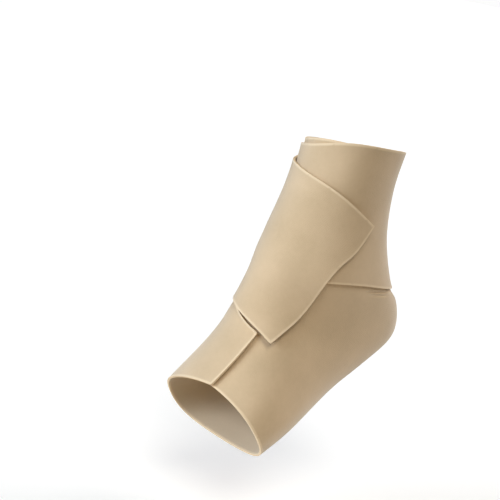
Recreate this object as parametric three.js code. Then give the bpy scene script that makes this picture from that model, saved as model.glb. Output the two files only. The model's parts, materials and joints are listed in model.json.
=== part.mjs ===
// Foot compression wrap, left: two laminated cloth sheets in their closed shape, each held on itself by
// a hook tab. The foot wrap covers sole, heel and ankle and laps over itself on the instep. The ankle
// band goes once round above the heel, and its wide end slants down across the instep.
//
// Millimetres. +Z runs up the ankle, +X points to the toe opening and +Y to the outer side. The origin
// is the middle of the ankle's hollow.
import * as THREE from "three";

const { clamp, degToRad, lerp, smoothstep } = THREE.MathUtils;

// Cloth and fastener sizes
const CLOTH = 1.7; // thickness of the laminated cloth
const LAYER_GAP = 1.1; // room between two layers, held open by hooks and loops
const LAYER_STEP = CLOTH + LAYER_GAP;
const HOOK = 0.4; // thickness of a hook tab
const HOOK_CLEARANCE = (LAYER_GAP - HOOK) / 2;

// The hollow form that the cloth is wound on, one row for each section from the toe opening to the top.
// A section runs from a point on the instep or ankle (front) to one on the sole or heel (back). It is
// widest at a share of that way, and its middle stands to one side of the frame's XZ plane.
const FORM = [
  { frontX: 93, frontZ: -89, backX: 72, backZ: -128, halfWidth: 49, widest: 0.58, side: -4 },
  { frontX: 81, frontZ: -70.5, backX: 48, backZ: -115, halfWidth: 47.5, widest: 0.6, side: -4.5 },
  { frontX: 69, frontZ: -51, backX: 23, backZ: -101, halfWidth: 45, widest: 0.62, side: -4.5 },
  { frontX: 59.5, frontZ: -32, backX: -1.5, backZ: -85, halfWidth: 40, widest: 0.62, side: -4.5 },
  { frontX: 55.5, frontZ: -17.5, backX: -27, backZ: -69, halfWidth: 36, widest: 0.6, side: -5 },
  { frontX: 53, frontZ: -6.5, backX: -53, backZ: -52, halfWidth: 34, widest: 0.58, side: -4 },
  { frontX: 50, frontZ: 11, backX: -76, backZ: -30.5, halfWidth: 34, widest: 0.53, side: -1 },
  { frontX: 47, frontZ: 25, backX: -69, backZ: -4, halfWidth: 35.5, widest: 0.49, side: 1 },
  { frontX: 42.5, frontZ: 41, backX: -54, backZ: 10, halfWidth: 34, widest: 0.47, side: 2.5 },
  { frontX: 37, frontZ: 60, backX: -39.5, backZ: 45, halfWidth: 30.5, widest: 0.47, side: 3 },
  { frontX: 31.5, frontZ: 86, backX: -34, backZ: 81, halfWidth: 29, widest: 0.48, side: 4 },
  { frontX: 30, frontZ: 113, backX: -36.5, backZ: 112, halfWidth: 30.5, widest: 0.5, side: 4.5 },
  { frontX: 30, frontZ: 140, backX: -41, backZ: 140, halfWidth: 32.5, widest: 0.5, side: 5 },
];
const SOLE_SQUARE = 0.045; // how square the back half of a section is, 0 for an ellipse
// A soft bulge at the outer ankle, with its reach in rows and in degrees
const BULGE = { along: 6.7, around: 62, height: 2.5, rows: 1.2, degrees: 27 };

// Places on the form are given by "along", a row of the table above, and "around", in degrees: 0 at
// the front, 90 at the outer side, 180 at the back. A wound sheet goes on past a full turn.

// Foot wrap: its start lies under the flap on top of the foot, and above the flap it stops at a slit.
// The table gives its two open edges along the winding, in equal steps of "around".
const FOOT_COURSE = [
  { around: -35, toe: 1.1, collar: 10.8 },
  { around: 25, toe: 1.09, collar: 11 },
  { around: 85, toe: 1, collar: 10.9 },
  { around: 145, toe: 1, collar: 10.75 },
  { around: 205, toe: 0.95, collar: 10.75 },
  { around: 265, toe: 0.82, collar: 10.78 },
  { around: 325, toe: 0.84, collar: 10.8 },
  { around: 385, toe: 1.16, collar: 10.8 },
];
const FOOT_SLIT = 323;
const FLAP_END = { atToes: 374, atTop: 385 };
const FLAP_TOP = { atSlit: 5.3, atEnd: 3.42, sweep: 1.7 };
const FLAP_RISE = { from: 250, to: 312 }; // around, where the cloth climbs onto its own start
const FLAP_FADE = { from: 4.9, to: 6.3 }; // along, where that climb dies away
// How far its free edge stands up, from an angle on, and from which share of its way the band presses it
const FLAP_LIFT = { height: 0.9, from: 350, pressed: 0.7 };
const FOOT_GRID = { ring: 37, flap: 7, foot: 11, ankle: 19 };

// Ankle band: its two edges along the winding, in equal steps of "around"
const BAND_COURSE = [
  { around: -430, bottom: 6.9, top: 10.6 },
  { around: -370, bottom: 6.2, top: 10.73 },
  { around: -310, bottom: 6.8, top: 11.05 },
  { around: -250, bottom: 7.55, top: 11.03 },
  { around: -190, bottom: 7.85, top: 10.9 },
  { around: -130, bottom: 7.3, top: 10.75 },
  { around: -70, bottom: 5.6, top: 10.3 },
  { around: -10, bottom: 4.15, top: 10.1 },
  { around: 50, bottom: 3.1, top: 9.76 },
  { around: 110, bottom: 1.9, top: 9.1 },
];
// Its free end, cut on a curve, in equal steps of the share of its width
const BAND_END = [
  { width: 0, around: 39 },
  { width: 0.125, around: 44.5 },
  { width: 0.25, around: 47.5 },
  { width: 0.375, around: 50 },
  { width: 0.5, around: 52 },
  { width: 0.625, around: 57 },
  { width: 0.75, around: 66 },
  { width: 0.875, around: 82.5 },
  { width: 1, around: 98 },
];
const BAND_LAYER = 0.75; // how many layers up it starts, pulled tight on the foot wrap
const BAND_RISE = { from: -130, to: -75 }; // where the band climbs onto its own start
const BAND_DROP = { from: 20, to: 64, reach: 0.9, depth: 0.5 }; // where the end comes down off it
const END_LIFT = { atBottom: 2, atTop: 1.4, from: 0.9 }; // how it stands up, from a share of the length
const BAND_GRID = { length: 54, width: 14 };

// Hook tabs, each a field set in from the free end that it holds
const FOOT_TAB = { back: 28, inset: 4, from: 0.12, to: 0.86, columns: 4, rows: 7 };
const ANKLE_TAB = { back: 30, inset: 6, from: 0.68, to: 0.94, columns: 5, rows: 4 };

const CLOTH_COLOUR = "#cfb693";
const HOOK_COLOUR = "#b9a27f";

// A smooth line through the rows of the form's table, read by the row number
function formLine(toVector) {
  const line = new THREE.CatmullRomCurve3(FORM.map(toVector), false, "catmullrom");
  return (along) => line.getPoint(along / (FORM.length - 1));
}

const frontAt = formLine((row) => new THREE.Vector3(row.frontX, row.side, row.frontZ));
const backAt = formLine((row) => new THREE.Vector3(row.backX, row.side, row.backZ));
const girthAt = formLine((row) => new THREE.Vector3(row.halfWidth, row.widest, 0));

function bulgeAt(along, around) {
  const aside = Math.sin(degToRad(around - BULGE.around) / 2) / Math.sin(degToRad(BULGE.degrees) / 2);
  const away = Math.hypot((along - BULGE.along) / BULGE.rows, aside);
  return BULGE.height * Math.exp(-(away ** 2));
}

function formPoint(along, around) {
  const front = frontAt(along);
  const back = backAt(along);
  const { x: halfWidth, y: widest } = girthAt(along);
  const angle = degToRad(around);
  const square = (SOLE_SQUARE * (1 - Math.cos(angle))) / 2;
  const rise = (Math.cos(angle) - square * Math.cos(3 * angle)) / (1 - square);
  const spread = (Math.sin(angle) + square * Math.sin(3 * angle)) / (1 - square);
  const point = front.clone().lerp(back, widest);
  point.lerp(rise > 0 ? front : back, Math.abs(rise));
  point.y += halfWidth * spread + bulgeAt(along, around);
  return point;
}

// A point that stands off the form along its outward normal
function skinPoint({ along, around, height }) {
  const step = 0.02;
  const turn = 1;
  const up = formPoint(along + step, around).sub(formPoint(along - step, around));
  const round = formPoint(along, around + turn).sub(formPoint(along, around - turn));
  return formPoint(along, around).addScaledVector(round.cross(up).normalize(), height);
}

// Closes a grid of places into one sheet of the given thickness. place(i, j) gives the inner face, and
// covers(i, j) says whether the cloth covers that cell, so that the outline may have inner corners.
function sheetGeometry(columns, rows, thickness, place, covers = () => true) {
  const positions = [];
  const index = [];
  const innerAt = (i, j) => 2 * (i * (rows + 1) + j);
  const outerAt = (i, j) => innerAt(i, j) + 1;
  const quad = (a, b, c, d) => index.push(a, b, c, a, c, d);
  const covered = (i, j) => i >= 0 && j >= 0 && i < columns && j < rows && covers(i, j);

  for (let i = 0; i <= columns; i++) {
    for (let j = 0; j <= rows; j++) {
      const inner = place(i, j);
      const outer = { ...inner, height: inner.height + thickness };
      positions.push(...skinPoint(inner).toArray(), ...skinPoint(outer).toArray());
    }
  }
  for (let i = 0; i < columns; i++) {
    for (let j = 0; j < rows; j++) {
      if (!covered(i, j)) continue;
      const corners = [[i, j], [i + 1, j], [i + 1, j + 1], [i, j + 1]];
      const neighbours = [[i, j - 1], [i + 1, j], [i, j + 1], [i - 1, j]];
      quad(...corners.map(([x, y]) => outerAt(x, y)));
      quad(...corners.map(([x, y]) => innerAt(x, y)).reverse());
      corners.forEach((corner, side) => {
        if (covered(...neighbours[side])) return;
        const next = corners[(side + 1) % 4];
        quad(innerAt(...corner), innerAt(...next), outerAt(...next), outerAt(...corner));
      });
    }
  }
  const geometry = new THREE.BufferGeometry();
  geometry.setAttribute("position", new THREE.Float32BufferAttribute(positions, 3));
  geometry.setIndex(index);
  geometry.computeVertexNormals();
  return geometry;
}

// A smooth line through numbers in equal steps, read by a share of its length
function evenLine(numbers) {
  const points = numbers.map((number) => new THREE.Vector3(number, 0, 0));
  const line = new THREE.CatmullRomCurve3(points, false, "catmullrom");
  return (share) => line.getPoint(clamp(share, 0, 1)).x;
}

// One edge of a course table, read by the angle around the form
function courseEdge(course, edge) {
  const start = course[0].around;
  const turn = course[course.length - 1].around - start;
  const line = evenLine(course.map((row) => row[edge]));
  return (around) => line((around - start) / turn);
}

// The foot wrap's edges, and how many layers up it lies
const toeEdge = courseEdge(FOOT_COURSE, "toe");
const collarEdge = courseEdge(FOOT_COURSE, "collar");
const FOOT_START = FOOT_COURSE[0].around;

function flapTop(around) {
  const share = clamp((around - FOOT_SLIT) / (FLAP_END.atTop - FOOT_SLIT), 0, 1);
  return lerp(FLAP_TOP.atEnd, FLAP_TOP.atSlit, (1 - share) ** FLAP_TOP.sweep);
}

function footLayer(along, around) {
  const climbed = smoothstep(around, FLAP_RISE.from, FLAP_RISE.to);
  return climbed * (1 - smoothstep(along, FLAP_FADE.from, FLAP_FADE.to));
}

function flapLift(around, end, share) {
  const lifted = clamp((around - FLAP_LIFT.from) / (end - FLAP_LIFT.from), 0, 1) ** 2;
  return FLAP_LIFT.height * lifted * (1 - smoothstep(share, FLAP_LIFT.pressed, 1));
}

function footAlong(around, j) {
  const middle = flapTop(around);
  if (j <= FOOT_GRID.foot) return lerp(toeEdge(around), middle, j / FOOT_GRID.foot);
  return lerp(middle, collarEdge(around), (j - FOOT_GRID.foot) / FOOT_GRID.ankle);
}

function footPlace(i, j) {
  const flapShare = Math.min(1, j / FOOT_GRID.foot);
  const flapEnd = lerp(FLAP_END.atToes, FLAP_END.atTop, flapShare);
  const around =
    i <= FOOT_GRID.ring
      ? lerp(FOOT_START, FOOT_SLIT, i / FOOT_GRID.ring)
      : lerp(FOOT_SLIT, flapEnd, (i - FOOT_GRID.ring) / FOOT_GRID.flap);
  const along = footAlong(around, j);
  const lift = flapLift(around, flapEnd, flapShare);
  return { along, around, height: footLayer(along, around) * LAYER_STEP + lift };
}

function footWrap() {
  const columns = FOOT_GRID.ring + FOOT_GRID.flap;
  const rows = FOOT_GRID.foot + FOOT_GRID.ankle;
  const covers = (i, j) => i < FOOT_GRID.ring || j < FOOT_GRID.foot;
  return sheetGeometry(columns, rows, CLOTH, footPlace, covers);
}

// The ankle band's edges, and how many layers up it lies
const bottomEdge = courseEdge(BAND_COURSE, "bottom");
const topEdge = courseEdge(BAND_COURSE, "top");
const bandEnd = evenLine(BAND_END.map((row) => row.around));
const BAND_START = BAND_COURSE[0].around;

function bandLayer(along, around) {
  const below = bottomEdge(around - 360);
  const overBand = smoothstep(along, below - BAND_DROP.reach, below);
  const drop = BAND_DROP.depth * smoothstep(around, BAND_DROP.from, BAND_DROP.to) * (1 - overBand);
  return BAND_LAYER + smoothstep(around, BAND_RISE.from, BAND_RISE.to) - drop;
}

// A place on the band: a share of its width from the bottom edge, at an angle around the form
function bandPlace(width, around) {
  const along = lerp(bottomEdge(around), topEdge(around), width);
  const length = (around - BAND_START) / (bandEnd(width) - BAND_START);
  const lifted = clamp((length - END_LIFT.from) / (1 - END_LIFT.from), 0, 1) ** 2;
  const lift = lerp(END_LIFT.atBottom, END_LIFT.atTop, width) * lifted;
  return { along, around, height: bandLayer(along, around) * LAYER_STEP + lift };
}

function ankleBand() {
  const place = (i, j) => {
    const width = j / BAND_GRID.width;
    return bandPlace(width, lerp(BAND_START, bandEnd(width), i / BAND_GRID.length));
  };
  return sheetGeometry(BAND_GRID.length, BAND_GRID.width, CLOTH, place);
}

// The hook tabs lie in the gap under the sheet that carries them
function footHookTab() {
  const place = (i, j) => {
    const share = lerp(FOOT_TAB.from, FOOT_TAB.to, j / FOOT_TAB.rows);
    const end = lerp(FLAP_END.atToes, FLAP_END.atTop, share);
    const around = lerp(end - FOOT_TAB.back, end - FOOT_TAB.inset, i / FOOT_TAB.columns);
    const along = lerp(toeEdge(around), flapTop(around), share);
    const lift = flapLift(around, end, share);
    return { along, around, height: LAYER_STEP + lift - HOOK_CLEARANCE - HOOK };
  };
  return sheetGeometry(FOOT_TAB.columns, FOOT_TAB.rows, HOOK, place);
}

function ankleHookTab() {
  const place = (i, j) => {
    const width = lerp(ANKLE_TAB.from, ANKLE_TAB.to, j / ANKLE_TAB.rows);
    const end = bandEnd(width);
    const around = lerp(end - ANKLE_TAB.back, end - ANKLE_TAB.inset, i / ANKLE_TAB.columns);
    const spot = bandPlace(width, around);
    return { ...spot, height: spot.height - HOOK_CLEARANCE - HOOK };
  };
  return sheetGeometry(ANKLE_TAB.columns, ANKLE_TAB.rows, HOOK, place);
}

const cloth = new THREE.MeshStandardMaterial({ color: CLOTH_COLOUR, roughness: 0.95, metalness: 0 });
const hooks = new THREE.MeshStandardMaterial({ color: HOOK_COLOUR, roughness: 0.8, metalness: 0 });

function named(name, geometry, material) {
  const mesh = new THREE.Mesh(geometry, material);
  mesh.name = name;
  return mesh;
}

const wrap = new THREE.Group();
wrap.add(
  named("foot_wrap", footWrap(), cloth),
  named("ankle_band", ankleBand(), cloth),
  named("foot_hook_tab", footHookTab(), hooks),
  named("ankle_hook_tab", ankleHookTab(), hooks),
);

export default wrap;
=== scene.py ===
# %% [markdown]
# # A foot compression wrap, from CAD solids to cloth
# The wrap is cut from one beige cloth and made of two pieces. The foot wrap is lapped over itself on the
# instep, and the ankle band goes once round above the heel and ends in a wide slanting strap. Two small
# fields of hook tape lie hidden between the layers and hold the free ends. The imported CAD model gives
# every place and size, so this lesson takes each solid and turns it into cloth where it lies.

import json
import math

import bmesh
import bpy
from mathutils import Matrix, Vector, kdtree, noise


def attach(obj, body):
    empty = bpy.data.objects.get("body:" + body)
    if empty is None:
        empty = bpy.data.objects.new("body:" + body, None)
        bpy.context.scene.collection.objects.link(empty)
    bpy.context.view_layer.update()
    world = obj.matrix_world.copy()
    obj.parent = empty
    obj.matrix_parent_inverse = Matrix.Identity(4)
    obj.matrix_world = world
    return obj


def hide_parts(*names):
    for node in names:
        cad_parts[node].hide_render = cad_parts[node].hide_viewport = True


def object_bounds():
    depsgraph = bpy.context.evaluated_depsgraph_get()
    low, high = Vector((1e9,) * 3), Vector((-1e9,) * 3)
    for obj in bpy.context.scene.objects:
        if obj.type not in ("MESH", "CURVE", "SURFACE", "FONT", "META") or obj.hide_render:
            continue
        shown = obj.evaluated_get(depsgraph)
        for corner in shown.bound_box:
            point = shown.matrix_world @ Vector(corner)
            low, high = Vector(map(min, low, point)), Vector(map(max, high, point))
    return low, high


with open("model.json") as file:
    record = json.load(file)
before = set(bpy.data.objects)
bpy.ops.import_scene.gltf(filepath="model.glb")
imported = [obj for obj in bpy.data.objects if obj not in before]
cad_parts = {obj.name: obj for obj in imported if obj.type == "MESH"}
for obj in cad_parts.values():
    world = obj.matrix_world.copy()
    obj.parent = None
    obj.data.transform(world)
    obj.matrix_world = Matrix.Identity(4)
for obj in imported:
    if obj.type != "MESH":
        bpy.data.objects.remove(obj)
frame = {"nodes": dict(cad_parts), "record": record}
cad_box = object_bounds()
bpy.ops.object.select_all(action="DESELECT")
scene = bpy.context.scene
MM = 0.001
print("solids:", ", ".join(sorted(frame["nodes"])))
print("size in mm:", [round(side / MM, 1) for side in cad_box[1] - cad_box[0]])

# %% [markdown]
# ## The camera
# A photograph is matched first by where its camera stood. The view is given in a studio's plain terms:
# the point aimed at, how far round and how high the camera stands, how much it is tilted on its own
# axis, and how far away it is. The matrices below apply these one after another, so each value can be
# changed alone.

# %% Set the camera
AIM = Vector((0.0358, -0.0360, 0.0184))
CAMERA_ROUND = math.radians(139.05)
CAMERA_RISE = math.radians(11.89)
CAMERA_TILT = math.radians(11.80)
CAMERA_DISTANCE = 1.0226
CAMERA_FIELD = math.radians(20)

camera_lens = bpy.data.cameras.new("photo_camera")
camera_lens.angle = CAMERA_FIELD
camera = bpy.data.objects.new("photo_camera", camera_lens)
scene.collection.objects.link(camera)
camera.matrix_world = (
    Matrix.Translation(AIM)
    @ Matrix.Rotation(CAMERA_ROUND, 4, "Z")
    @ Matrix.Rotation(math.pi / 2 - CAMERA_RISE, 4, "X")
    @ Matrix.Rotation(CAMERA_TILT, 4, "Z")
    @ Matrix.Translation((0, 0, CAMERA_DISTANCE))
)
scene.camera = camera
print("camera stands at", [round(value, 3) for value in camera.matrix_world.translation])

# %% [markdown]
# ## The light
# The photograph has soft light from above and from the inner side, which leaves the outer side darker,
# and white all around. A sun lamp lights wrap and floor alike, however wide the floor is, and its angle
# makes it as soft as a large panel. The main lamp hangs above the camera and draws a thin shadow under
# every edge. A weak one at the toe end softens it, and two wide lamps stand in for the light that white
# walls throw back. Each is placed as the camera is, by how far round and how high it stands. Above the
# horizon the camera sees white too, but that white gives no light of its own.

# %% Hang the lights
WARM, COOL, NEUTRAL = (1.04, 1.02, 0.94), (0.87, 1.0, 1.17), (1.05, 1.0, 0.97)
LIGHTS = [
    {"name": "main_light", "round": 150, "rise": 50, "strength": 1.30, "spread": 30, "colour": WARM},
    {"name": "toe_light", "round": 90, "rise": 35, "strength": 0.30, "spread": 40, "colour": WARM},
    {"name": "inner_wall", "round": 70, "rise": 15, "strength": 2.5, "spread": 40, "colour": COOL},
    {"name": "heel_wall", "round": 270, "rise": 35, "strength": 1.55, "spread": 50, "colour": NEUTRAL},
]
SURROUND_SEEN = 0.98

for row in LIGHTS:
    lamp = bpy.data.lights.new(row["name"], "SUN")
    lamp.energy = row["strength"]
    lamp.color = row["colour"]
    lamp.angle = math.radians(row["spread"])
    light = bpy.data.objects.new(row["name"], lamp)
    scene.collection.objects.link(light)
    light.matrix_world = Matrix.Rotation(math.radians(row["round"]), 4, "Z") @ Matrix.Rotation(
        math.radians(90 - row["rise"]), 4, "X"
    )

world = bpy.data.worlds.new("white_surround")
world.use_nodes = True
surround = world.node_tree
strength = surround.nodes.new("ShaderNodeMath")
strength.operation = "MULTIPLY"
strength.inputs[1].default_value = SURROUND_SEEN
light_path = surround.nodes.new("ShaderNodeLightPath")
surround.links.new(light_path.outputs["Is Camera Ray"], strength.inputs[0])
background = surround.nodes["Background"]
background.inputs["Color"].default_value = (1, 1, 1, 1)
surround.links.new(strength.outputs["Value"], background.inputs["Strength"])
scene.world = world
scene.view_settings.view_transform = "Standard"
print("lights:", [row["name"] for row in LIGHTS])

# %% [markdown]
# ## One layer of cloth
# Each CAD sheet is a closed solid with an outer face, an inner face and a narrow rim. Cloth is easier to
# shape as a single layer that gets its thickness last, because a crease then moves both faces together.
# The rim meets the faces at about a right angle, so the solid falls apart into patches where its sharp
# edges are split, and the patch with the largest area is the outer face. Joining its triangles gives back
# the squares that subdivision likes best.

# %% Take the outer face of a solid
MERGE_WITHIN = 1e-6
SHARP = math.radians(50)
FLAT_ENOUGH = math.radians(60)


def linked_patches(mesh):
    """The mesh's faces as sets that hang together edge to edge."""
    waiting = set(mesh.faces)
    patches = []
    while waiting:
        patch = {waiting.pop()}
        front = list(patch)
        while front:
            face = front.pop()
            beside = {other for edge in face.edges for other in edge.link_faces} & waiting
            waiting -= beside
            patch |= beside
            front.extend(beside)
        patches.append(patch)
    return patches


def outer_layer(node):
    """A bmesh of the outer face of one CAD sheet."""
    layer = bmesh.new()
    layer.from_mesh(frame["nodes"][node].data)
    bmesh.ops.remove_doubles(layer, verts=layer.verts, dist=MERGE_WITHIN)
    sharp_edges = [edge for edge in layer.edges if edge.calc_face_angle(0) > SHARP]
    bmesh.ops.split_edges(layer, edges=sharp_edges)
    patches = linked_patches(layer)
    outer = max(patches, key=lambda patch: sum(face.calc_area() for face in patch))
    rest = [face for face in layer.faces if face not in outer]
    bmesh.ops.delete(layer, geom=rest, context="FACES")
    bmesh.ops.join_triangles(
        layer,
        faces=layer.faces,
        angle_face_threshold=FLAT_ENOUGH,
        angle_shape_threshold=math.pi,
        topology_influence=1,
    )
    print(f"{node}: {len(patches)} patches, outer face of {len(layer.faces)} squares")
    return layer


# %% [markdown]
# ## Round corners
# A blade that cuts soft cloth can't turn on a point, so the corners of the real pieces are slightly
# round. A corner of the layer is a vertex with one face only, and bevelling that vertex cuts it back to
# an arc. Inner corners keep their point, because there the two cuts cross.

# %% Round the cut corners
CORNER_STEPS = 4


def round_corners(layer, radius):
    corners = [vert for vert in layer.verts if len(vert.link_faces) == 1]
    bmesh.ops.bevel(
        layer,
        geom=corners,
        offset=radius,
        segments=CORNER_STEPS,
        profile=0.5,
        affect="VERTICES",
        material=-1,
    )
    print("  rounded corners:", len(corners))


# %% [markdown]
# ## The flat pattern
# The cloth was cut flat, and its knit runs straight along the piece however it is wound. Unwrapping lays
# the layer flat again and keeps the result as a UV map. Here the map is scaled to metres and turned so
# that the longest way lies along U. A knit of one millimetre is then one millimetre wide everywhere, and
# the size of the map is the size of the cut.

# %% Lay a layer flat
FLAT_MAP = "flat"
SQUARE_CM = 1e-4


def flat_places(mesh):
    """Every corner's place in the flat map, as vectors that can be changed."""
    return mesh.uv_layers[FLAT_MAP].uv


def map_area(mesh):
    places = flat_places(mesh)
    total = 0
    for face in mesh.polygons:
        ring = [places[corner].vector for corner in face.loop_indices]
        total += sum(a.cross(b) for a, b in zip(ring, ring[1:] + ring[:1])) / 2
    return abs(total)


def lay_flat(piece):
    mesh = piece.data
    mesh.uv_layers.new(name=FLAT_MAP)
    bpy.context.view_layer.objects.active = piece
    bpy.ops.object.mode_set(mode="EDIT")
    bpy.ops.mesh.select_all(action="SELECT")
    bpy.ops.uv.unwrap(method="ANGLE_BASED", margin=0)
    bpy.ops.object.mode_set(mode="OBJECT")
    mesh = piece.data
    cloth_area = sum(face.area for face in mesh.polygons)
    scale = math.sqrt(cloth_area / map_area(mesh))
    places = [spot.vector.copy() for spot in flat_places(mesh)]
    middle = sum(places, Vector((0, 0))) / len(places)
    spread_u = sum((place.x - middle.x) ** 2 for place in places)
    spread_v = sum((place.y - middle.y) ** 2 for place in places)
    shared = sum((place.x - middle.x) * (place.y - middle.y) for place in places)
    turn = Matrix.Rotation(-math.atan2(2 * shared, spread_u - spread_v) / 2, 2)
    turned = [turn @ ((place - middle) * scale) for place in places]
    corner = Vector((min(place.x for place in turned), min(place.y for place in turned)))
    for spot, place in zip(flat_places(mesh), turned):
        spot.vector = place - corner
    length = max(place.x for place in turned) - corner.x
    width = max(place.y for place in turned) - corner.y
    print(f"  flat: {length / MM:.0f} x {width / MM:.0f} mm, {cloth_area / SQUARE_CM:.0f} square cm")


# %% [markdown]
# ## Smooth cloth
# The CAD layer has squares of about six millimetres. Subdivision rounds them into one smooth sheet, and
# its result is kept as the new mesh, so that the next steps can move the finer points. Each point also
# remembers how far it is from the nearest cut edge, which the finish of the cloth uses later.

# %% Make a smooth sheet from a layer
SMOOTH_LEVELS = 2
EDGE_LAYER = "edge_mm"


def add_piece(name, layer):
    mesh = bpy.data.meshes.new(name)
    layer.to_mesh(mesh)
    layer.free()
    piece = bpy.data.objects.new(name, mesh)
    scene.collection.objects.link(piece)
    return piece


def smooth_sheet(piece):
    rounding = piece.modifiers.new("rounding", "SUBSURF")
    rounding.levels = SMOOTH_LEVELS
    rounding.render_levels = SMOOTH_LEVELS
    finer = piece.evaluated_get(bpy.context.evaluated_depsgraph_get())
    coarse = piece.data
    piece.data = bpy.data.meshes.new_from_object(finer)
    piece.modifiers.clear()
    name = coarse.name
    bpy.data.meshes.remove(coarse)
    piece.data.name = name
    print(f"  smooth sheet of {len(piece.data.polygons)} faces")


def note_edge_distance(layer):
    distance = layer.verts.layers.float.new(EDGE_LAYER)
    cut = [edge for edge in layer.edges if edge.is_boundary]
    tree = kdtree.KDTree(2 * len(cut))
    for index, edge in enumerate(cut):
        start, end = (vert.co for vert in edge.verts)
        tree.insert(start, 2 * index)
        tree.insert((start + end) / 2, 2 * index + 1)
    tree.balance()
    for vert in layer.verts:
        vert[distance] = tree.find(vert.co)[2] / MM


# %% [markdown]
# ## Swell and creases
# Drawn cloth is never as even as a computed surface. A slow noise lets it swell and sink by a fraction of
# a millimetre. It reads the place in space, so two layers that lie on each other move together and stay
# apart. Below the band two short creases cross the outer side of the heel, where the cloth is pressed
# together. A crease is a line that draws the sheet in, deepest on the line and fading to both sides and
# both ends. Its two ends are given in X and Z, as seen from the outer side. The edges near it are first
# cut into four, because a crease needs several points across it.

# %% Shape the surface
SWELL_HEIGHT = 0.28 * MM
SWELL_LENGTH = 34 * MM
CREASES = [
    {"start": (-13.0, 10.9), "end": (-40.0, 9.3), "depth": 1.0, "width": 0.8},
    {"start": (-16.0, 8.4), "end": (-43.0, 6.7), "depth": 0.8, "width": 0.8},
]
CREASE_REACH = 3.2
CREASE_CUTS = 3


def crease_lines():
    for row in CREASES:
        start, end = Vector(row["start"]) * MM, Vector(row["end"]) * MM
        yield start, end, row["depth"] * MM, row["width"] * MM


def crease_depth(place):
    depth = 0
    for start, end, deepest, width in crease_lines():
        along = (place.xz - start).dot(end - start) / (end - start).length_squared
        aside = (place.xz - start.lerp(end, min(1, max(0, along)))).length
        taper = max(0, 1 - (2 * along - 1) ** 2)
        depth += deepest * taper * math.exp(-((aside / width) ** 2))
    return depth if place.y > 0 else 0


def divide_near_creases(layer):
    near = set()
    for start, end, _, width in crease_lines():
        middle, reach = (start + end) / 2, (end - start).length / 2 + CREASE_REACH * width
        outer = [edge for edge in layer.edges if edge.verts[0].co.y > 0]
        near |= {edge for edge in outer if (edge.verts[0].co.xz - middle).length < reach}
    bmesh.ops.subdivide_edges(layer, edges=list(near), cuts=CREASE_CUTS, use_grid_fill=True)
    print("  divided edges:", len(near))


def shape_surface(layer):
    layer.normal_update()
    moves = []
    for vert in layer.verts:
        swell = SWELL_HEIGHT * noise.noise(vert.co / SWELL_LENGTH)
        moves.append(vert.normal * (swell - crease_depth(vert.co)))
    for vert, move in zip(layer.verts, moves):
        vert.co += move
    print(f"  moved by up to {max(move.length for move in moves) / MM:.2f} mm")


# %% [markdown]
# ## Thickness and cut edge
# The last step gives the sheet its thickness. Solidify adds the inner face and the rim, and can hand each
# of them the next material in the list: outer face, lining, cut edge. A small live bevel takes the
# sharpness off the two edges of the rim, as a soft core does when it is cut.

# %% Give a sheet its thickness
LINING, CUT_EDGE = 1, 2
RIM_STEPS = 3


def thicken(piece, thickness, softness):
    wall = piece.modifiers.new("thickness", "SOLIDIFY")
    wall.thickness = thickness
    wall.offset = -1
    wall.use_even_offset = True
    wall.material_offset = LINING
    wall.material_offset_rim = CUT_EDGE
    rim = piece.modifiers.new("soft_rim", "BEVEL")
    rim.width = softness
    rim.segments = RIM_STEPS
    rim.limit_method = "ANGLE"
    rim.angle_limit = SHARP
    rim.material = CUT_EDGE
    for face in piece.data.polygons:
        face.use_smooth = True


# %% [markdown]
# ## All steps in a row
# The wrap has four pieces, and each goes through the same steps, so one function takes them in order.
# The flat map comes before the smoothing, which carries it along. The distance from the cut edge comes
# before the swell, so that it is measured on the even sheet.

# %% Put the steps together
def make_piece(name, node, corner, thickness, softness, creased=False):
    layer = outer_layer(node)
    round_corners(layer, corner)
    piece = add_piece(name, layer)
    lay_flat(piece)
    smooth_sheet(piece)
    fine = bmesh.new()
    fine.from_mesh(piece.data)
    if creased:
        divide_near_creases(fine)
    note_edge_distance(fine)
    shape_surface(fine)
    fine.to_mesh(piece.data)
    fine.free()
    thicken(piece, thickness, softness)
    return piece


# %% [markdown]
# ## The foot wrap
# The largest piece is wound round the foot and the heel. On the real wrap it starts on the outer side
# of the instep, goes under the sole and comes back over its own start, where it is pressed shut. It
# could be wound from a flat cut by a cloth simulation, but its CAD sheet already lies where the drawn
# cloth lies, so it is only rounded, smoothed and creased.

# %% Make the foot wrap
CLOTH = 1.7 * MM
CLOTH_CORNER = 1.2 * MM
CLOTH_SOFTNESS = 0.7 * MM

foot_wrap = make_piece("foot_wrap_cloth", "foot_wrap", CLOTH_CORNER, CLOTH, CLOTH_SOFTNESS, creased=True)

# %% [markdown]
# ## The ankle band
# The band is cut from the same cloth. It goes once round above the heel, and its wide end slants down
# across the front as a strap that lies over the foot wrap. It is drawn tight, so it has no creases and
# takes the same thickness, corners and rim.

# %% Make the ankle band
ankle_band = make_piece("ankle_band_cloth", "ankle_band", CLOTH_CORNER, CLOTH, CLOTH_SOFTNESS)

# %% [markdown]
# ## The hook tape
# A field of moulded hooks under each free end grips the loops of the cloth below. The closed wrap hides
# both fields. They could be left out of a picture, but a part that is looked at from all sides and
# opened in other tools needs them. The tape is thin and stiff, so its rim is nearly sharp.

# %% Make the two tapes
TAPE = 0.4 * MM
TAPE_CORNER = 1.5 * MM
TAPE_SOFTNESS = 0.1 * MM

foot_tape = make_piece("foot_hook_tape", "foot_hook_tab", TAPE_CORNER, TAPE, TAPE_SOFTNESS)
ankle_tape = make_piece("ankle_hook_tape", "ankle_hook_tab", TAPE_CORNER, TAPE, TAPE_SOFTNESS)

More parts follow.
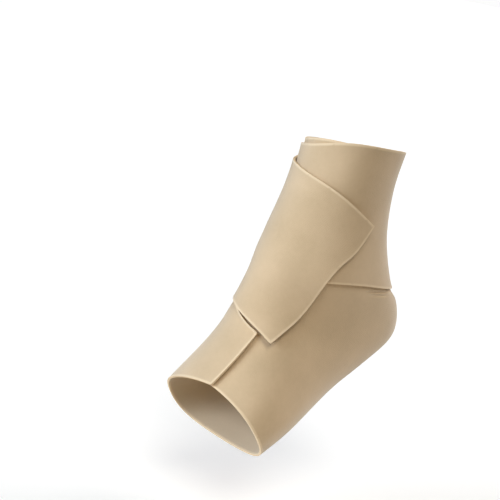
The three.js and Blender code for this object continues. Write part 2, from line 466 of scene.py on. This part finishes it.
# %% [markdown]
# ## Effects that the finishes share
# The outer face is a brushed loop cloth: a fine knit whose threads are raised into a dense mat of loops,
# so that hooks can grip it anywhere. Four effects describe it, and each is a node group that the
# materials place with their own values: the mat of loops, the knit below it, soft patches of colour, and
# the paler fibres near a cut. A group puts out values only, and the shader stays in the material.

# %% Helpers for nodes
FLOAT, VECTOR = "NodeSocketFloat", "NodeSocketVector"


def put(tree, kind, sockets=None, **settings):
    """Adds a node. A socket takes a plain value, or another node's output as a link."""
    made = tree.nodes.new(kind)
    for name, value in settings.items():
        setattr(made, name, value)
    for socket, value in (sockets or {}).items():
        if isinstance(value, bpy.types.NodeSocket):
            tree.links.new(value, made.inputs[socket])
        else:
            made.inputs[socket].default_value = value
    return made


def math_node(tree, operation, *values):
    return put(tree, "ShaderNodeMath", dict(enumerate(values)), operation=operation).outputs[0]


def new_group(name, inputs, outputs):
    """An empty group with its named sockets, and its two end nodes."""
    group = bpy.data.node_groups.new(name, "ShaderNodeTree")
    for socket, kind in inputs.items():
        group.interface.new_socket(name=socket, in_out="INPUT", socket_type=kind)
    for socket in outputs:
        group.interface.new_socket(name=socket, in_out="OUTPUT", socket_type=FLOAT)
    return group, group.nodes.new("NodeGroupInput"), group.nodes.new("NodeGroupOutput")


def finish_group(group, end, results):
    for socket, value in results.items():
        group.links.new(value, end.inputs[socket])
    print("group", group.name, "gives", ", ".join(results))
    return group


# %% [markdown]
# ## A mat of loops
# Brushing raises the threads into loops of about half a millimetre. They could be made as hair, but a
# mat of such small loops reads as a fine bump from any distance, and a bump also survives an export.
# Each cell of a cell texture is the crown of one loop, a fine noise frays it into threads, and a slow
# noise gathers the loops into tufts that differ a little in colour.

# %% Mat of loops
LOOP_SMOOTHNESS = 0.4
THREADS_PER_LOOP, THREAD_DETAIL = 1.7, 2.0
TUFTS_PER_LOOP, TUFT_DETAIL = 0.16, 3.0


def make_loop_mat():
    group, start, end = new_group("loop_mat", {"Place": VECTOR, "Loop": FLOAT}, ["Height", "Tuft"])
    per_metre = math_node(group, "DIVIDE", 1.0, start.outputs["Loop"])
    in_loops = put(
        group,
        "ShaderNodeVectorMath",
        {0: start.outputs["Place"], "Scale": per_metre},
        operation="SCALE",
    ).outputs[0]
    loops = put(
        group,
        "ShaderNodeTexVoronoi",
        {"Vector": in_loops, "Scale": 1.0, "Smoothness": LOOP_SMOOTHNESS},
        feature="SMOOTH_F1",
    )
    threads = put(
        group,
        "ShaderNodeTexNoise",
        {"Vector": in_loops, "Scale": THREADS_PER_LOOP, "Detail": THREAD_DETAIL},
    )
    tufts = put(
        group,
        "ShaderNodeTexNoise",
        {"Vector": in_loops, "Scale": TUFTS_PER_LOOP, "Detail": TUFT_DETAIL},
    )
    crown = math_node(group, "SUBTRACT", 1.0, loops.outputs["Distance"])
    height = math_node(group, "ADD", crown, threads.outputs["Fac"])
    return finish_group(group, end, {"Height": height, "Tuft": tufts.outputs["Fac"]})


loop_mat = make_loop_mat()


# %% [markdown]
# ## The knit below
# Under the loops the rows of the knit run along the piece. A sine across the flat map gives one wave for
# each row, and a slow noise lets the rows sway, because soft cloth never lies in ruled lines.

# %% Knit below the loops
SWAYS_PER_METRE, SWAY_DETAIL = 70.0, 2.0


def make_knit():
    group, start, end = new_group("knit_courses", {"Place": VECTOR, "Pitch": FLOAT}, ["Height"])
    split = put(group, "ShaderNodeSeparateXYZ", {"Vector": start.outputs["Place"]})
    sway = put(
        group,
        "ShaderNodeTexNoise",
        {"Vector": start.outputs["Place"], "Scale": SWAYS_PER_METRE, "Detail": SWAY_DETAIL},
    )
    courses = math_node(group, "DIVIDE", split.outputs["Y"], start.outputs["Pitch"])
    swayed = math_node(group, "ADD", courses, sway.outputs["Fac"])
    turned = math_node(group, "MULTIPLY", swayed, math.tau)
    wave = math_node(group, "SINE", turned)
    height = math_node(group, "MULTIPLY_ADD", wave, 0.5, 0.5)
    return finish_group(group, end, {"Height": height})


knit_courses = make_knit()


# %% [markdown]
# ## Soft patches
# Where the loops lean another way, the cloth looks a shade lighter or darker. A painted map could show
# that for one piece, but a cloudy noise does it for every piece and at any size.

# %% Soft patches of colour
CLOUD_DETAIL = 4.0
CLOUD_LOW, CLOUD_HIGH = 0.3, 0.7


def make_patches():
    group, start, end = new_group("soft_patches", {"Place": VECTOR, "Patch": FLOAT}, ["Shade"])
    per_metre = math_node(group, "DIVIDE", 1.0, start.outputs["Patch"])
    cloud = put(
        group,
        "ShaderNodeTexNoise",
        {"Vector": start.outputs["Place"], "Scale": per_metre, "Detail": CLOUD_DETAIL},
    )
    shade = put(
        group,
        "ShaderNodeMapRange",
        {"Value": cloud.outputs["Fac"], "From Min": CLOUD_LOW, "From Max": CLOUD_HIGH},
    )
    return finish_group(group, end, {"Shade": shade.outputs["Result"]})


soft_patches = make_patches()


# %% [markdown]
# ## Fibres at the cut
# Along a cut the loops are opened and show the paler foam between them, so each piece has a light line
# at its edge. The distance that every point remembers makes the mask: full up to the core of the line,
# and gone at its reach.

# %% Paler fibres near a cut
def make_edge_fade():
    group, start, end = new_group("edge_fade", {"Edge": FLOAT, "Core": FLOAT, "Reach": FLOAT}, ["Mask"])
    fade = put(
        group,
        "ShaderNodeMapRange",
        {
            "Value": start.outputs["Edge"],
            "From Min": start.outputs["Core"],
            "From Max": start.outputs["Reach"],
            "To Min": 1.0,
            "To Max": 0.0,
        },
        interpolation_type="SMOOTHSTEP",
    )
    return finish_group(group, end, {"Mask": fade.outputs["Result"]})


edge_fade = make_edge_fade()

# %% [markdown]
# ## The finishes
# The colour of the cloth is the one that the part's record states for its slot. A brushed cloth is matt
# and has a faint halo where it turns away, which is the shader's sheen. The lining is the same cloth with
# shorter loops, and the cut edge shows the paler foam between the two. Patterns that follow the knit read
# the flat map, and those with no direction read the place on the object.

# %% Material helpers
MIX_FACTOR, MIX_FIRST, MIX_SECOND, MIX_RESULT = 0, 6, 7, 2
SLOT_COLOURS = {row["slot"]: row["base_color"] for row in frame["record"]["materials"]}


def tinted(colour, red=1.0, green=1.0, blue=1.0):
    return (colour[0] * red, colour[1] * green, colour[2] * blue, 1)


def mix_colours(tree, factor, first, second):
    sockets = {MIX_FACTOR: factor, MIX_FIRST: first, MIX_SECOND: second}
    return put(tree, "ShaderNodeMix", sockets, data_type="RGBA").outputs[MIX_RESULT]


def use_group(tree, group, **values):
    return put(tree, "ShaderNodeGroup", values, node_tree=group).outputs


def new_material(name):
    material = bpy.data.materials.new(name)
    material.use_nodes = True
    tree = material.node_tree
    return material, tree, tree.nodes["Principled BSDF"]


# %% [markdown]
# ## Looped cloth
# One function makes the outer face and the lining, which differ in loop size, relief and shade. The
# colour is built in layers, as on the real cloth: soft patches first, tufts on them, and the pale fibres
# of the cut on top. The tufts also vary the roughness, and loops and knit together drive the bump.

# %% Looped cloth and lining
CLOTH_PATCH = 30 * MM
FADE_CORE, FADE_REACH, FADE_SHARE = 0.7, 2.2, 0.95
TUFT_SHARE, KNIT_SHARE = 0.2, 0.35
SMOOTHEST_TUFT, ROUGHEST_TUFT = 0.86, 0.98
LOOP_RELIEF = 0.15 * MM
CLOTH_GLOSS = 0.2
SHEEN, SHEEN_ROUGHNESS = 0.7, 0.5
WHITE = (1, 1, 1, 1)


def looped_cloth(name, deep, pale, edge_colour, loop, pitch, relief):
    material, tree, shader = new_material(name)
    flat = put(tree, "ShaderNodeUVMap", uv_map=FLAT_MAP).outputs["UV"]
    place = put(tree, "ShaderNodeTexCoord").outputs["Object"]
    edge = put(tree, "ShaderNodeAttribute", attribute_name=EDGE_LAYER).outputs["Fac"]
    mat = use_group(tree, loop_mat, Place=flat, Loop=loop)
    knit = use_group(tree, knit_courses, Place=flat, Pitch=pitch)
    patches = use_group(tree, soft_patches, Place=place, Patch=CLOTH_PATCH)
    fade = use_group(tree, edge_fade, Edge=edge, Core=FADE_CORE, Reach=FADE_REACH)

    ground = mix_colours(tree, patches["Shade"], deep, pale)
    tuft_mask = math_node(tree, "MULTIPLY", mat["Tuft"], TUFT_SHARE)
    fade_mask = math_node(tree, "MULTIPLY", fade["Mask"], FADE_SHARE)
    tufted = mix_colours(tree, tuft_mask, ground, edge_colour)
    faded = mix_colours(tree, fade_mask, tufted, edge_colour)
    rough = put(
        tree,
        "ShaderNodeMapRange",
        {"Value": mat["Tuft"], "To Min": SMOOTHEST_TUFT, "To Max": ROUGHEST_TUFT},
    ).outputs["Result"]
    height = math_node(tree, "MULTIPLY_ADD", knit["Height"], KNIT_SHARE, mat["Height"])
    bump = put(
        tree,
        "ShaderNodeBump",
        {"Height": height, "Strength": relief, "Distance": LOOP_RELIEF},
    )
    tree.links.new(faded, shader.inputs["Base Color"])
    tree.links.new(rough, shader.inputs["Roughness"])
    tree.links.new(bump.outputs["Normal"], shader.inputs["Normal"])
    shader.inputs["Specular IOR Level"].default_value = CLOTH_GLOSS
    shader.inputs["Sheen Weight"].default_value = SHEEN
    shader.inputs["Sheen Roughness"].default_value = SHEEN_ROUGHNESS
    shader.inputs["Sheen Tint"].default_value = WHITE
    print("material", name)
    return material


beige = SLOT_COLOURS["wrap_cloth"]
opened_loops = tinted(beige, 1.36, 1.41, 1.50)
outer_face = looped_cloth(
    "beige_loop_cloth",
    deep=tinted(beige, 0.95, 0.92, 0.88),
    pale=tinted(beige, 1.10, 1.08, 1.08),
    edge_colour=opened_loops,
    loop=0.55 * MM,
    pitch=0.9 * MM,
    relief=0.5,
)
lining = looped_cloth(
    "beige_lining",
    deep=tinted(beige, 0.98, 0.98, 1.0),
    pale=tinted(beige, 1.06, 1.08, 1.12),
    edge_colour=opened_loops,
    loop=0.4 * MM,
    pitch=0.7 * MM,
    relief=0.3,
)


# %% [markdown]
# ## Foam in the cut edge
# The rim shows the foam that is laminated between the two faces. It has fine open cells, which the mat
# of loops gives at a smaller size. The rim has no useful place in the flat map, so it reads the place on
# the object instead.

# %% Foam in the cut edge
FOAM_CELL, FOAM_PATCH = 0.3 * MM, 4 * MM
FOAM_STRENGTH, FOAM_RELIEF = 0.4, 0.12 * MM
FOAM_ROUGHNESS, FOAM_GLOSS = 0.95, 0.15


def cut_foam(name, deep, pale):
    material, tree, shader = new_material(name)
    place = put(tree, "ShaderNodeTexCoord").outputs["Object"]
    cells = use_group(tree, loop_mat, Place=place, Loop=FOAM_CELL)
    patches = use_group(tree, soft_patches, Place=place, Patch=FOAM_PATCH)
    colour = mix_colours(tree, patches["Shade"], deep, pale)
    bump = put(
        tree,
        "ShaderNodeBump",
        {"Height": cells["Height"], "Strength": FOAM_STRENGTH, "Distance": FOAM_RELIEF},
    )
    tree.links.new(colour, shader.inputs["Base Color"])
    tree.links.new(bump.outputs["Normal"], shader.inputs["Normal"])
    shader.inputs["Roughness"].default_value = FOAM_ROUGHNESS
    shader.inputs["Specular IOR Level"].default_value = FOAM_GLOSS
    print("material", name)
    return material


cut_edge = cut_foam(
    "pale_foam_core",
    deep=tinted(beige, 1.30, 1.36, 1.46),
    pale=tinted(beige, 1.40, 1.48, 1.62),
)


# %% [markdown]
# ## Moulded hooks
# The hooks stand in close rows on a plastic film, so here the cells are almost regular. Plastic is
# smoother than cloth. The tips get a painted highlight and the film between them painted shade, both
# following the relief of the hooks.

# %% Hook tape
HOOKS_PER_METRE, HOOK_SCATTER = 900.0, 0.1
TAPE_PATCH = 6 * MM
# how much darker the film is painted as shade, and how much paler the tips are painted as highlight
FILM_PAINTED_SHADE, TIP_PAINTED_HIGHLIGHT = 0.94, 1.12
HOOK_STRENGTH, HOOK_RELIEF = 0.8, 0.3 * MM
TAPE_ROUGHNESS = 0.55


def hook_tape(name, colour):
    material, tree, shader = new_material(name)
    flat = put(tree, "ShaderNodeUVMap", uv_map=FLAT_MAP).outputs["UV"]
    hooks = put(
        tree,
        "ShaderNodeTexVoronoi",
        {"Vector": flat, "Scale": HOOKS_PER_METRE, "Randomness": HOOK_SCATTER},
        feature="F1",
    ).outputs["Distance"]
    patches = use_group(tree, soft_patches, Place=flat, Patch=TAPE_PATCH)
    # painted shade on the film between the hooks and a painted highlight on their tips, following the hook
    # relief
    painted_film_shade = tinted(colour, FILM_PAINTED_SHADE, FILM_PAINTED_SHADE, FILM_PAINTED_SHADE)
    painted_tip_highlight = tinted(colour, TIP_PAINTED_HIGHLIGHT, TIP_PAINTED_HIGHLIGHT, TIP_PAINTED_HIGHLIGHT)
    ground = mix_colours(tree, patches["Shade"], painted_film_shade, tinted(colour))
    shaded = mix_colours(tree, hooks, painted_tip_highlight, ground)
    height = math_node(tree, "SUBTRACT", 1.0, hooks)
    bump = put(
        tree,
        "ShaderNodeBump",
        {"Height": height, "Strength": HOOK_STRENGTH, "Distance": HOOK_RELIEF},
    )
    tree.links.new(shaded, shader.inputs["Base Color"])
    tree.links.new(bump.outputs["Normal"], shader.inputs["Normal"])
    shader.inputs["Roughness"].default_value = TAPE_ROUGHNESS
    print("material", name)
    return material


tape_face = hook_tape("moulded_hooks", SLOT_COLOURS["hook_tape"])

# %% [markdown]
# ## Dressing the pieces
# Each piece gets three materials in the order that its thickness asks for: outer face, lining, cut edge.
# The tape is the same all through, so its one finish fills all three places.

# %% Dress the pieces
CLOTH_FINISH = (outer_face, lining, cut_edge)
TAPE_FINISH = (tape_face, tape_face, tape_face)
DRESS = [
    {"piece": foot_wrap, "finish": CLOTH_FINISH},
    {"piece": ankle_band, "finish": CLOTH_FINISH},
    {"piece": foot_tape, "finish": TAPE_FINISH},
    {"piece": ankle_tape, "finish": TAPE_FINISH},
]
for row in DRESS:
    for material in row["finish"]:
        row["piece"].data.materials.append(material)
print("dressed:", [row["piece"].name for row in DRESS])

# %% [markdown]
# ## The floor
# A plain pale floor catches the soft shadow of the wrap. It is so wide that its end lies behind the
# horizon, and it lies a little below the wrap, which is held up and does not stand. The camera sees it
# white, with a faint glow that keeps it so between the lamps. The light that it throws back onto the wrap
# is warmer and comes from a pool around it only, so that it fades towards the top of the band.

# %% Lay the floor
FLOOR_HALF_WIDTH = 40
FLOOR_GAP = 0.05
FLOOR_PATCH = 0.4
FLOOR_DEEP, FLOOR_PALE = (0.93, 0.93, 0.93, 1), (0.95, 0.95, 0.95, 1)
FLOOR_BOUNCE = (0.86, 0.80, 0.71, 1)
NO_BOUNCE = (0, 0, 0, 1)
POOL_CORE, POOL_REACH = 0.4, 1.1
FLOOR_GLOW = 0.25
FLOOR_ROUGHNESS = 0.9

floor_mesh = bmesh.new()
bmesh.ops.create_grid(floor_mesh, x_segments=1, y_segments=1, size=FLOOR_HALF_WIDTH)
bmesh.ops.translate(floor_mesh, verts=floor_mesh.verts, vec=(0, 0, cad_box[0].z - FLOOR_GAP))
floor = add_piece("studio_floor", floor_mesh)
floor_finish, floor_tree, floor_shader = new_material("pale_floor")
floor_place = put(floor_tree, "ShaderNodeTexCoord").outputs["Object"]
floor_patches = use_group(floor_tree, soft_patches, Place=floor_place, Patch=FLOOR_PATCH)
floor_white = mix_colours(floor_tree, floor_patches["Shade"], FLOOR_DEEP, FLOOR_PALE)
floor_seen = put(floor_tree, "ShaderNodeLightPath").outputs["Is Camera Ray"]
floor_away = put(floor_tree, "ShaderNodeVectorMath", {0: floor_place}, operation="LENGTH").outputs["Value"]
floor_pool = put(
    floor_tree,
    "ShaderNodeMapRange",
    {"Value": floor_away, "From Min": POOL_CORE, "From Max": POOL_REACH, "To Min": 1.0, "To Max": 0.0},
    interpolation_type="SMOOTHSTEP",
).outputs["Result"]
floor_bounce = mix_colours(floor_tree, floor_pool, NO_BOUNCE, FLOOR_BOUNCE)
floor_colour = mix_colours(floor_tree, floor_seen, floor_bounce, floor_white)
floor_tree.links.new(floor_colour, floor_shader.inputs["Base Color"])
floor_tree.links.new(floor_seen, floor_shader.inputs["Emission Color"])
floor_shader.inputs["Emission Strength"].default_value = FLOOR_GLOW
floor_shader.inputs["Roughness"].default_value = FLOOR_ROUGHNESS
floor.data.materials.append(floor_finish)
print("floor at", round(cad_box[0].z - FLOOR_GAP, 3))

# %% [markdown]
# ## What the pieces are
# The last cell ties each piece to the one body of the part and hides the CAD solid that it stands for.
# Its table also gives the slot of each piece's finish.

SHEETS = [
    {"piece": foot_wrap, "node": "foot_wrap", "slot": "wrap_cloth"},
    {"piece": ankle_band, "node": "ankle_band", "slot": "wrap_cloth"},
    {"piece": foot_tape, "node": "foot_hook_tab", "slot": "hook_tape"},
    {"piece": ankle_tape, "node": "ankle_hook_tab", "slot": "hook_tape"},
]
for row in SHEETS:
    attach(row["piece"], "root")
    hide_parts(row["node"])
